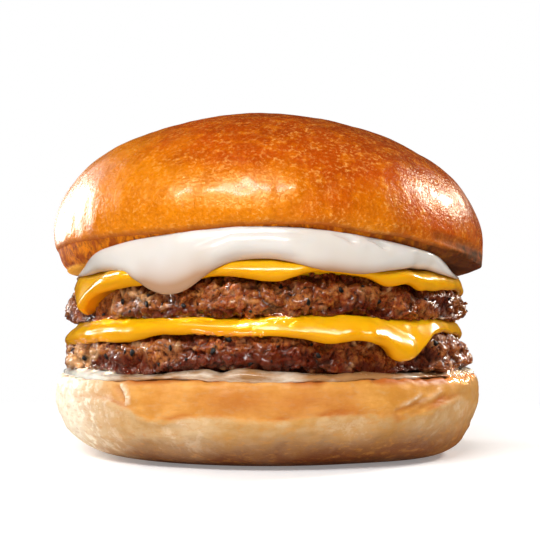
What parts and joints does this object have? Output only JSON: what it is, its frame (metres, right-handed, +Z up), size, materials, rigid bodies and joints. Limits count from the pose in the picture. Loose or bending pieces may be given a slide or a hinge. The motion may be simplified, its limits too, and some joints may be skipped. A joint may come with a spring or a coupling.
{
  "type": "double cheeseburger",
  "caption": "Stacked burger: domed glossy bun, white sauce, melted cheese draped over minced beef patties, cream sauce and a flat-footed bottom bun.",
  "frame": {"origin": "centre of the burger's box, on the surface it stands on", "axes": "+Z up through the stack, -Y towards the front with the sauce and cheese drips, +X to the right seen from the front"},
  "size_m": [0.1116, 0.1104, 0.0862],
  "materials": {
    "bun_crust": "glazed baked crust, glossy with fine pimples",
    "bun_crumb": "pale baked side, satin, golden near the cut edge",
    "beef": "coarse seared mince, moist, with pepper specks",
    "cheese": "melted processed cheese, smooth and glossy",
    "white_sauce": "thick smooth white sauce, glossy",
    "cream_sauce": "thin pale cream sauce, wet"
  },
  "bodies": {
    "root": {"bun_bottom": "bun_crumb", "sauce_lower": "cream_sauce", "patty_lower": "beef", "cheese_lower": "cheese", "patty_upper": "beef", "cheese_upper": "cheese", "sauce_upper": "white_sauce", "bun_top": "bun_crust"}
  },
  "joints": []
}
